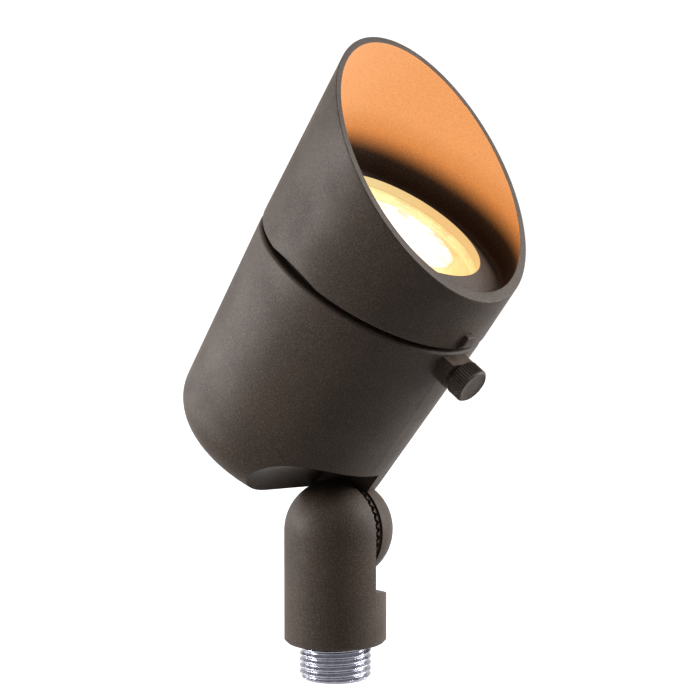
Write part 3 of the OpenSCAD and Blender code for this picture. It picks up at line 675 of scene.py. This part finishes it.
class SPOTLIGHT_OT_shroud(bpy.types.Operator):
    """Turns the glare shroud with its slanting rim, its wall with painted lamp light, its floor and
    its index tab
    """

    bl_idname = "spotlight.shroud"
    bl_label = "Glare shroud"

    def execute(self, context):
        size = context.scene.spotlight_shroud
        finish = context.scene.spotlight_finish
        angle = around(288)
        edge_r, edge_s = self.lower_edge(size, angle)
        walls_r, walls_s = self.walls(size, angle, edge_s[:, -1:])
        low_r, low_s = even(self.lower_part(size), len(angle))
        middle = (fillet_foot(size), size.floor + size.fillet)
        bend_r, bend_s = even(arc(middle, size.fillet, 0, -90, 7)[1:-1], len(angle))
        radius = np.hstack([low_r, edge_r, walls_r, bend_r])
        height = np.hstack([low_s, edge_s, walls_s, bend_s])
        piece = turned("glare_shroud", radius, height, on_head, "shroud_body", "shroud")
        coat = coat_material("Bronze coat on the shroud", finish, finish.coat)
        piece.data.materials.append(coat)
        piece.data.materials.append(self.painted_lamp_light_coat(context))
        self.paint_lamp_light_inside(piece, size)
        self.tab(size, coat)
        return {"FINISHED"}

    def lower_part(self, size):
        """Profile from the fillet's foot in over the floor, down the lens pocket and the collar's
        bore, and up the collar's outside with the O-ring's groove to the lower edge."""
        opening, top, seat = size.opening, size.floor + size.rise, lens_seat(size)
        pocket_foot = seat - POCKET_DEPTH
        collar_foot = size.bottom - COLLAR_LENGTH
        collar_bore = COLLAR_RADIUS - COLLAR_WALL
        groove_low, groove_high = collar_foot + GROOVE_LOW, collar_foot + GROOVE_HIGH
        corner = (opening + OPENING_EDGE, top - OPENING_EDGE)
        return np.vstack([
            line((fillet_foot(size), size.floor), (opening + OPENING_EDGE, top), 10),
            arc(corner, OPENING_EDGE, 90, 180, 4),
            chain(
                (opening, top - OPENING_EDGE - 0.1 * MM, 5), (opening, seat, 2),
                (POCKET_RADIUS, seat, 2), (POCKET_RADIUS, pocket_foot, 2),
                (POCKET_RADIUS + POCKET_WALL, pocket_foot, 2),
                (collar_bore, size.bottom + 2 * MM, 4), (collar_bore, collar_foot, 2),
                (COLLAR_RADIUS, collar_foot, 2), (COLLAR_RADIUS, groove_low, 2),
                (GROOVE_RADIUS, groove_low, 2), (GROOVE_RADIUS, groove_high, 2),
                (COLLAR_RADIUS, groove_high, 4), (COLLAR_RADIUS, size.bottom - 0.05 * MM),
            ),
        ])

    def lower_edge(self, size, angle):
        """The lower edge: flat from the collar outwards, then rounded up into the outer wall.

        Its notch is a round cutter seen edge on. The cutter's radius follows from the notch's
        width and depth, and its rise is the height of its circle at the way aside."""
        outer = shroud_outside(size, size.bottom)
        flat = np.array([COLLAR_RADIUS, COLLAR_RADIUS + 0.8 * MM, outer - 1.2 * MM])
        rounded = arc((outer - LOWER_EDGE, LOWER_EDGE), LOWER_EDGE, -90, 0, 6)
        radius = np.tile(np.concatenate([flat, rounded[:, 0]]), (len(angle), 1))
        up = np.concatenate([0 * flat, rounded[:, 1]])
        cutter = (size.notch_width ** 2 / 4 + size.notch_depth ** 2) / (2 * size.notch_depth)
        aside = np.clip(radius * np.sin(angle - size.notch_angle), -cutter, cutter)
        rise = size.notch_depth - cutter + np.sqrt(cutter ** 2 - aside ** 2)
        notch = np.where(np.cos(angle - size.notch_angle) > 0, np.maximum(rise, 0), 0)
        return radius, size.bottom + notch + up

    def walls(self, size, angle, start):
        """The outer wall up from start, the rim's two quarter arcs, and the inner wall down.

        The rim's plane is its height on the axis, less its slant's tangent times the radius
        times the angle's cosine. The arcs drop from that plane by up to the edge's radius."""
        def rim_height(radius):
            return size.rim - math.tan(size.slant) * radius * np.cos(angle)

        edge = size.edge
        top = rim_height(shroud_outside(size, size.rim)) - edge
        top = rim_height(shroud_outside(size, top)) - edge
        out_s = start + (top - start) * np.linspace(0, 1, 30)[None, 1:]
        outward = np.radians(np.linspace(0, 90, 6))[None, 1:]
        inward = outward[:, ::-1]
        cap_r = np.hstack([
            shroud_outside(size, top) - edge + edge * np.cos(outward),
            shroud_inside(size, top) + edge - edge * np.cos(inward),
        ])
        drop = np.hstack([edge - edge * np.sin(outward), edge - edge * np.sin(inward)])
        in_top = rim_height(shroud_inside(size, top)) - edge
        in_foot = size.floor + size.fillet
        in_s = in_top + (in_foot - in_top) * np.linspace(0, 1, 40)[None, 1:]
        radius = np.hstack([shroud_outside(size, out_s), cap_r, shroud_inside(size, in_s)])
        return radius, np.hstack([out_s, rim_height(cap_r) - drop, in_s])

    def paint_lamp_light_inside(self, piece, size):
        """Gives the coat with painted lamp light to the faces inside the wall above the floor, and
        in the opening.
        """
        centre = np.zeros(len(piece.data.polygons) * 3)
        piece.data.polygons.foreach_get("center", centre)
        offset = centre.reshape(-1, 3) - FOOT
        along = offset @ ALONG
        away = np.hypot(offset @ UNDER, offset @ PIN)
        wall = (along > size.floor - 0.2 * MM) & (away < shroud_inside(size, along) + 0.05 * MM)
        hole = (along > lens_seat(size)) & (along < size.floor + size.rise)
        hole &= away < size.opening + 0.1 * MM
        piece.data.polygons.foreach_set("material_index", (wall | hole).astype(np.int32))

    def painted_lamp_light_coat(self, context):
        """Coat with painted lamp light, as a glow: unlit, a painted shade, up to the dark height
        above the floor, and fully lit from the lit height. The edge of the opening glows as the
        band round the lamp does, also painted lamp light."""
        glow = context.scene.spotlight_glow
        size = context.scene.spotlight_shroud
        finish = context.scene.spotlight_finish
        # Painted shade: the faint emission at the unlit foot of the wall and on the floor
        unlit = (0.004, 0.001, 0.0)
        turn_low, turn_high = size.floor + 10 * MM, size.floor + 22 * MM

        # Painted lamp light on the wall, the floor and the opening's edge, as emission on the coat
        def light(tree, vector, grain):
            place = placed(tree, "Head place", Vector=vector)
            along, radius = place.outputs["Along"], place.outputs["Radius"]
            lit = spread(tree, along, size.floor + glow.dark_height, size.floor + glow.lit_height)
            speckle = spread(tree, grain, 0.3, 0.7, to_low=0.84, to_high=1.08)
            lit = math_node(tree, "MULTIPLY", lit, speckle)
            high = spread(tree, along, turn_low, turn_high)
            wall = mixed(tree, lit, unlit, mixed(tree, high, glow.wall_low, glow.wall_high))
            beyond = spread(tree, radius, size.opening + 0.1 * MM, size.opening + 0.3 * MM)
            return mixed(tree, beyond, lamp_band(tree, place, glow), wall)

        return coat_material("Coat with painted lamp light inside the shroud", finish, finish.coat, light)

    def tab(self, size, coat):
        """The index tab: the sum of the tenth powers of its three coordinates is one.

        Its outer face is cut back by a slope that rises from the wall at the lower end."""
        columns, rows = 96, 49
        gap, slope_height, sunk = 0.3 * MM, 1.8 * MM, 0.1 * MM
        u = around(columns)
        v = np.linspace(-np.pi / 2, np.pi / 2, rows)[None, :]

        def soft(value):
            return np.sign(value) * np.abs(value) ** 0.2

        half = size.tab_height / 2
        middle = size.bottom + gap + half
        x = soft(np.cos(v)) * soft(np.cos(u)) * size.tab_proud
        y = soft(np.cos(v)) * soft(np.sin(u)) * size.tab_width / 2
        s = soft(np.sin(v)) * half + 0 * u
        x = np.minimum(x, (s + half) * size.tab_proud / slope_height - sunk)
        x = x + shroud_outside(size, middle)
        index = np.arange(columns * rows).reshape(columns, rows)
        index[:, 0] = 0
        index[:, -1] = rows - 1
        turn = np.roll(index, -1, 0)
        corners = [index[:, :-1], turn[:, :-1], turn[:, 1:], index[:, 1:]]
        used, inverse = np.unique(np.stack(corners, -1).reshape(-1, 4), return_inverse=True)
        points = on_head(x, y, s + middle).reshape(-1, 3)[used]
        piece = solid("index_tab", points, inverse.reshape(-1, 4), "shroud_body")
        piece.data.materials.append(coat)


class SPOTLIGHT_OT_thread(bpy.types.Operator):
    """Turns the half-inch pipe thread under the stem"""

    bl_idname = "spotlight.thread"
    bl_label = "Pipe thread"

    def execute(self, context):
        size = context.scene.spotlight_screws
        finish = context.scene.spotlight_finish
        low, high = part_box("threaded_nipple")
        crest, bore = high.x, 7.5 * MM
        grip, end_face = crest - 0.3 * MM, crest - 1.2 * MM
        bore_bevel, lead_in, lead_slope = 0.4 * MM, 0.9 * MM, 0.9
        angle = around(160)
        height = np.linspace(low.z, -0.02 * MM, 120)[None, :] + 0 * angle
        radius = crest - size.pipe_depth * thread(angle, height, size.pipe_pitch)
        radius = np.minimum(radius, crest - lead_in + (height - low.z) * lead_slope)
        # The plain part: up in the stem, down the bore and out to the thread's end
        plain = chain(
            (grip, 0, 3), (grip, high.z, 2), (bore, high.z, 6), (bore, low.z + bore_bevel, 2),
            (bore + bore_bevel, low.z, 2), (end_face, low.z))
        plain_r, plain_s = even(plain, len(angle))
        piece = turned(
            "pipe_thread", np.hstack([radius, plain_r]), np.hstack([height, plain_s]), on_row,
            "stem_body", "threaded_nipple", sharp=50)
        zinc = metal_material("Zinc plate", finish.zinc, roughness=0.27, blotch=0.1)
        piece.data.materials.append(zinc)
        return {"FINISHED"}


class SPOTLIGHT_OT_thumbscrew(bpy.types.Operator):
    """Turns the knurled knob and its threaded shank"""

    bl_idname = "spotlight.thumbscrew"
    bl_label = "Thumbscrew"

    def execute(self, context):
        self.knob(context.scene.spotlight_screws, context.scene.spotlight_finish)
        self.shank(context.scene.spotlight_screws)
        return {"FINISHED"}

    def knob(self, size, finish):
        """The knob: a plain round side, cut by grooves and by a bevel at each end.

        The groove's depth is a triangle wave of the angle, with both ends cut flat."""
        back, face = reach("thumbscrew_knob", UNDER)
        length, rim = face - back, 5.3 * MM
        back_bevel, face_bevel, face_slope = 0.55 * MM, 0.6 * MM, 1.1
        angle = around(12 * size.knurls)
        groove = np.abs(2 * np.mod(angle * size.knurls / (2 * np.pi), 1) - 1)
        groove = size.knurl_depth * np.clip(groove * 1.25 - 0.1, 0, 1)
        s = np.linspace(0, length, 26)[None, :]
        inset = np.maximum(back_bevel - s, 0)
        inset = inset + np.maximum(s - (length - face_bevel), 0) * face_slope
        side = np.minimum(rim - groove, rim - inset)
        # The face with its shallow dish, then the shank's blind bore
        dish = length - 0.1 * MM
        bore, bore_depth = 2.55 * MM, 3.55 * MM
        ends = [
            (4.3 * MM, length - 0.05 * MM), (4.2 * MM, dish), (2 * MM, dish), (0, dish),
            (0, bore_depth), (bore, bore_depth), (bore, 0),
        ]
        end_r, end_s = even(ends, len(angle))
        piece = turned(
            "knurled_knob", np.hstack([side, end_r]), np.hstack([s + 0 * angle, end_s]) + back,
            on_screw, "knob_body", "thumbscrew_knob", sharp=40)
        darker = tuple(0.9 * c for c in finish.coat)
        piece.data.materials.append(coat_material("Bronze coat on the knob", finish, darker))

    def shank(self, size):
        """The shank with its thread, which tapers to its tip at 45 degrees."""
        start, end = reach("thumbscrew_shank", UNDER)
        crest, tip = 2.5 * MM, 2.0 * MM
        angle = around(72)
        s = np.linspace(start, end, 170)[None, :] + 0 * angle
        radius = crest - size.fine_depth * thread(angle, s, size.fine_pitch)
        radius = np.minimum(radius, tip + (s - start))
        end_r, end_s = even([(0, end), (0, start)], len(angle))
        piece = turned(
            "threaded_shank", np.hstack([radius, end_r]), np.hstack([s, end_s]), on_screw,
            "screw_body", "thumbscrew_shank", sharp=50)
        steel = metal_material("Dark screw steel", (0.16, 0.15, 0.14), roughness=0.4)
        piece.data.materials.append(steel)


class SPOTLIGHT_OT_lamp(bpy.types.Operator):
    """Lights the lens, the lamp's reflector and capsule, and its cover glass, and paints lamp light
    on its gasket's edge
    """

    bl_idname = "spotlight.lamp"
    bl_label = "Lit lamp"

    def execute(self, context):
        glow = context.scene.spotlight_glow
        self.lens(glow)
        self.gasket(glow, context.scene.spotlight_shroud.opening)
        self.bulb()
        return {"FINISHED"}

    def lens(self, glow):
        """Glass with a hot mottled centre, a thin line round it, and the band of the lamp.

        The distance from the axis wobbles with a noise. Only the upper face glows, so that the
        glow isn't seen twice through the glass."""
        made, tree, shader, vector = material("Lit lens glass", roughness=0.08)
        place = placed(tree, "Head place", Vector=vector)
        wobble_size, line_low, line_high, line_share = 2.6 * MM, 0.1 * MM, 0.45 * MM, 0.6
        patches = noise(tree, vector, 5 * MM, detail=4.0, rough=0.6)
        centred = math_node(tree, "SUBTRACT", patches, 0.5)
        wobble = math_node(tree, "MULTIPLY", centred, wobble_size)
        away = math_node(tree, "ADD", place.outputs["Radius"], wobble)
        edge = glow.hot_radius
        spots = noise(tree, vector, 3 * MM, detail=3.0, rough=0.65)
        mottle = spread(tree, spots, 0.42, 0.66, to_high=0.9)
        outward = math_node(tree, "MULTIPLY", mottle, spread(tree, away, 0.3 * edge, edge))
        centre = mixed(tree, outward, glow.hot, glow.warm)
        beyond = spread(tree, away, edge - 1.6 * MM, edge + 0.2 * MM)
        colour = mixed(tree, beyond, centre, lamp_band(tree, place, glow))
        off_edge = math_node(tree, "ABSOLUTE", math_node(tree, "SUBTRACT", away, edge))
        near = math_node(tree, "SUBTRACT", 1.0, spread(tree, off_edge, line_low, line_high))
        near = math_node(tree, "MULTIPLY", near, line_share)
        colour = mixed(tree, near, colour, glow.line)
        face = reach("lens", ALONG)[1]
        upper = spread(tree, place.outputs["Along"], face - 0.4 * MM, face - 0.2 * MM)
        feed(tree, shader, Transmission_Weight=1.0, IOR=1.5,
             Emission_Color=mixed(tree, upper, BLACK, colour), Emission_Strength=1.0,
             Roughness=spread(tree, patches, 0.3, 0.7, to_low=0.05, to_high=0.2))
        dress(made, "lens")

    def gasket(self, glow, opening):
        """Black rubber whose inner edge, seen in the opening, glows as the band beside it: painted
        lamp light.
        """
        made, tree, shader, vector = material("Rubber with painted lamp light on its inner edge", roughness=0.7)
        place = placed(tree, "Head place", Vector=vector)
        edge = opening + 0.3 * MM
        beyond = spread(tree, place.outputs["Radius"], edge + 0.1 * MM, edge + 0.3 * MM)
        # Painted lamp light on the rubber's inner edge
        light = mixed(tree, beyond, lamp_band(tree, place, glow), BLACK)
        feed(tree, shader, Base_Color=(0.02, 0.02, 0.02), Emission_Color=light,
             Emission_Strength=0.9)
        bump(tree, shader, noise(tree, vector, 0.4 * MM), 0.02 * MM)
        dress(made, "lens_gasket")

    def bulb(self):
        """The bulb: a mirror with a faint glow, a capsule with a stronger one, and clear glass."""
        made, tree, shader, vector = material("Lit reflector glass", roughness=0.15, metallic=1.0)
        feed(tree, shader, Base_Color=(0.9, 0.86, 0.76), Emission_Color=(1.0, 0.72, 0.38),
             Emission_Strength=0.05)
        bump(tree, shader, noise(tree, vector, 2.2 * MM, detail=0.0), 0.3 * MM)
        dress(made, "lamp_reflector")
        made, tree, shader, vector = material("Lit capsule glass", roughness=0.1)
        feed(tree, shader, Base_Color=(1.0, 0.9, 0.7), Emission_Color=(1.0, 0.85, 0.6),
             Emission_Strength=0.5)
        bump(tree, shader, noise(tree, vector, 1.5 * MM, detail=1.0), 0.02 * MM)
        dress(made, "lamp_capsule")
        made, tree, shader, vector = material("Lamp cover glass", roughness=0.05)
        feed(tree, shader, Transmission_Weight=1.0, IOR=1.5)
        bump(tree, shader, noise(tree, vector, 2.5 * MM, detail=1.0), 0.05 * MM)
        dress(made, "lamp_cover_glass")


class SPOTLIGHT_OT_stage(bpy.types.Operator):
    """Sets the floor, the backdrop, the lamps, the world and the camera"""

    bl_idname = "spotlight.stage"
    bl_label = "Studio"

    def execute(self, context):
        scene = context.scene
        studio = scene.spotlight_studio
        level = np.array([math.sin(studio.azimuth), -math.cos(studio.azimuth), 0])
        right = np.array([-level[1], level[0], 0])
        self.sweep(level, right, studio.white)
        for name, bearing, rise, size, light, share in LAMPS:
            bearing, rise = math.radians(bearing), math.radians(rise)
            sideways = math.cos(bearing) * level + math.sin(bearing) * right
            away = LAMP_DISTANCE * (math.cos(rise) * sideways + math.sin(rise) * UP)
            self.lamp(name, away, size, share * getattr(studio, light))
        self.air(scene, studio)
        self.camera(scene, studio)
        scene.view_settings.view_transform = "Standard"
        return {"FINISHED"}

    def sweep(self, level, right, white):
        """Floor and backdrop in one sheet: flat, a quarter turn up behind the part, upright."""
        front, far, bend, top, half_width = 1.6, -1.6, 0.6, 2.6, 3.0
        flat = np.linspace(front, far, 12)
        angle = np.linspace(0, np.pi / 2, 24)[1:]
        away = np.concatenate([flat, far - bend * np.sin(angle), [far - bend]])
        rise = np.concatenate([0 * flat, bend - bend * np.cos(angle), [top]])
        across = np.linspace(-half_width, half_width, 13)
        points = across[:, None, None] * right + away[None, :, None] * level
        points = points + UP * (rise[None, :, None] + CAD_BOX[0][2])
        rows, columns = points.shape[:2]
        index = np.arange(rows * columns).reshape(rows, columns)
        corners = [index[:-1, :-1], index[:-1, 1:], index[1:, 1:], index[1:, :-1]]
        mesh = bpy.data.meshes.new("Sweep")
        mesh.from_pydata(
            points.reshape(-1, 3).tolist(), [], np.stack(corners, -1).reshape(-1, 4).tolist())
        mesh.shade_smooth()
        sheet = bpy.data.objects.new("Sweep", mesh)
        bpy.context.scene.collection.objects.link(sheet)
        made, tree, shader, _ = material("White sweep", roughness=0.9)
        feed(tree, shader, Base_Color=(0.3, 0.3, 0.3), Specular_IOR_Level=0.0,
             Emission_Color=(1, 1, 1),
             Emission_Strength=math_node(tree, "MULTIPLY", seen_as_background(tree), white))
        mesh.materials.append(made)

    def lamp(self, name, away, size, power):
        """A soft rectangular lamp that faces the middle of the part, from which it stands away."""
        data = bpy.data.lights.new(name, "AREA")
        data.shape = "RECTANGLE"
        data.size, data.size_y = size
        data.energy = power
        lamp = bpy.data.objects.new(name, data)
        lamp.location = tuple(away + AIM)
        tilt = math.acos(away[2] / np.linalg.norm(away))
        lamp.rotation_euler = (tilt, 0, math.atan2(away[0], -away[1]))
        bpy.context.scene.collection.objects.link(lamp)

    def air(self, scene, studio):
        """The world: white where it is seen as a background, and a faint even light elsewhere."""
        world = bpy.data.worlds.new("Studio air")
        scene.world = world
        world.use_nodes = True
        tree = world.node_tree
        seen = math_node(tree, "MULTIPLY", seen_as_background(tree), studio.white)
        feed(tree, tree.nodes["Background"], Color=(1, 1, 1),
             Strength=math_node(tree, "MAXIMUM", seen, studio.ambient))

    def camera(self, scene, studio):
        """The camera at the photograph's viewing angle."""
        data = bpy.data.cameras.new("Camera")
        data.lens = studio.lens
        data.sensor_width = 36
        data.clip_start = 0.01
        camera = bpy.data.objects.new("Camera", data)
        scene.collection.objects.link(camera)
        camera.location = studio.place
        camera.rotation_euler = (math.pi / 2 - studio.elevation, 0, studio.azimuth)
        scene.camera = camera


class SPOTLIGHT_PT_panel(bpy.types.Panel):
    """Lists the pieces and their sizes"""

    bl_idname = "SPOTLIGHT_PT_panel"
    bl_label = "Outdoor spotlight"
    bl_space_type = "VIEW_3D"
    bl_region_type = "UI"
    bl_category = "Spotlight"

    def draw(self, context):
        for step in STEPS:
            self.layout.operator(step.bl_idname)
        for group in GROUPS:
            values = getattr(context.scene, group)
            box = self.layout.box()
            for name in GROUPS[group].__annotations__:
                box.prop(values, name)


GROUPS = {
    "spotlight_finish": SpotlightFinish,
    "spotlight_shroud": SpotlightShroud,
    "spotlight_screws": SpotlightScrews,
    "spotlight_glow": SpotlightGlow,
    "spotlight_studio": SpotlightStudio,
}
STEPS = (
    SPOTLIGHT_OT_groups, SPOTLIGHT_OT_castings, SPOTLIGHT_OT_shroud, SPOTLIGHT_OT_thread,
    SPOTLIGHT_OT_thumbscrew, SPOTLIGHT_OT_lamp, SPOTLIGHT_OT_stage,
)


def register():
    """Registers the classes and hangs the property groups on the scene."""
    for made in (*GROUPS.values(), *STEPS, SPOTLIGHT_PT_panel):
        bpy.utils.register_class(made)
    for name, group in GROUPS.items():
        setattr(bpy.types.Scene, name, PointerProperty(type=group))


def unregister():
    """Takes the property groups off the scene and the classes out."""
    for name in GROUPS:
        delattr(bpy.types.Scene, name)
    for made in reversed((*GROUPS.values(), *STEPS, SPOTLIGHT_PT_panel)):
        bpy.utils.unregister_class(made)


def main():
    """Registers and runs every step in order."""
    register()
    for step in STEPS:
        area, name = step.bl_idname.split(".")
        getattr(getattr(bpy.ops, area), name)()


if __name__ == "__main__":
    main()
